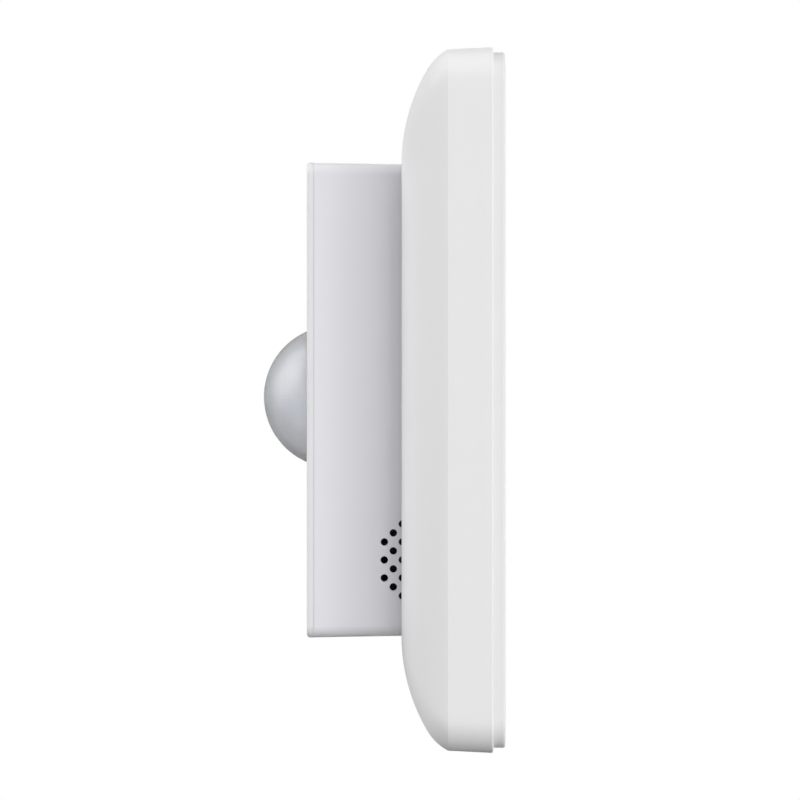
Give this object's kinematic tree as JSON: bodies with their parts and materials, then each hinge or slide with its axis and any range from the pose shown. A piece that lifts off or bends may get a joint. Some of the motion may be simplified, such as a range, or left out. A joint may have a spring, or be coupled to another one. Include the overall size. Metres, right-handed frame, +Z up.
{
  "type": "video doorbell",
  "caption": "Square wall-mounted video doorbell: white pillow-fronted frame and box head with a milky movement-sensor dome, flush camera window, call button and side sound holes.",
  "frame": {"origin": "centre of the wall face, at the back of the wall plate", "axes": "+Y out of the back into the wall, -Y towards the visitor, +Z up, +X to the visitor's right"},
  "size_m": [0.081, 0.0282, 0.081],
  "materials": {
    "plate_plastic": "satin moulded white plastic",
    "frame_plastic": "satin to gloss white plastic",
    "housing_plastic": "fine satin white plastic",
    "fascia_plastic": "satin to gloss white plastic",
    "button_plastic": "satin white plastic",
    "milky_lens": "milky translucent lens film with fine grooves",
    "light_guide": "frosted clear plastic",
    "dark_glass": "dark polished glass",
    "clear_glass": "polished clear glass",
    "black_plastic": "black moulded plastic",
    "terminal_plastic": "light grey moulded plastic",
    "black_rubber": "soft black rubber",
    "black_foam": "closed-cell black foam",
    "mesh_cloth": "fine woven black cloth",
    "brass": "bright brass",
    "steel": "zinc-plated steel",
    "capacitor_can": "bare aluminium can",
    "ferrite": "dark moulded ferrite",
    "chip_black": "black moulded chip",
    "lamp_resin": "pale lamp resin",
    "board_green": "green solder mask",
    "ribbon_film": "amber flexible film",
    "cone_film": "dark polymer film"
  },
  "bodies": {
    "wall_mount": {"wall_plate": "plate_plastic", "design_frame": "frame_plastic", "terminal_block": "terminal_plastic", "terminal_clamps": "brass", "terminal_screws": "steel", "supply_pins": "brass"},
    "head": {"antenna": "brass", "button_light_ring": "light_guide", "button_switch": "steel", "camera_baffle": "black_foam", "camera_barrel": "black_plastic", "camera_front_lens": "clear_glass", "camera_holder": "black_plastic", "camera_rear_lens": "clear_glass", "camera_window": "dark_glass", "capacitors": "capacitor_can", "front_board": "board_green", "front_board_screws": "steel", "front_fascia": "fascia_plastic", "front_seal": "black_rubber", "head_housing": "housing_plastic", "housing_screws": "steel", "image_sensor": "dark_glass", "infrared_lamps": "lamp_resin", "lens_retainer": "black_plastic", "main_board": "board_green", "main_board_screws": "steel", "memory_chip": "chip_black", "microphone": "brass", "microphone_boot": "black_rubber", "pairing_switch": "steel", "pir_lens": "milky_lens", "pir_sensor_base": "steel", "pir_sensor_can": "steel", "pir_sensor_window": "dark_glass", "power_chip": "chip_black", "power_coil": "ferrite", "processor_chip": "chip_black", "radio_chip": "chip_black", "radio_shield": "steel", "retainer_screws": "steel", "retaining_clips": "steel", "ribbon_cable": "ribbon_film", "ribbon_sockets": "terminal_plastic", "ring_lamps": "lamp_resin", "sound_mesh_left": "mesh_cloth", "sound_mesh_right": "mesh_cloth", "speaker_cone": "cone_film", "speaker_frame": "black_plastic", "speaker_gasket": "black_foam", "speaker_magnet": "steel", "status_lamp": "lamp_resin", "status_light_pipe": "light_guide", "supply_socket": "black_plastic"},
    "call_button": {"call_button": "button_plastic", "button_switch_stem": "black_plastic"},
    "pairing_button": {"pairing_button": "button_plastic", "pairing_switch_stem": "black_plastic"}
  },
  "joints": [
    {"name": "head_release", "type": "slide", "parent": "wall_mount", "child": "head", "axis": [0, -1, 0], "range_m": [0, 0.024]},
    {"name": "call_button_press", "type": "slide", "parent": "head", "child": "call_button", "axis": [0, 1, 0], "range_m": [0, 0.0005], "stiffness_N_per_m": 3000, "springref_m": -0.0001},
    {"name": "pairing_button_press", "type": "slide", "parent": "head", "child": "pairing_button", "axis": [0, -1, 0], "range_m": [0, 0.0004], "stiffness_N_per_m": 3000, "springref_m": -0.0001}
  ]
}
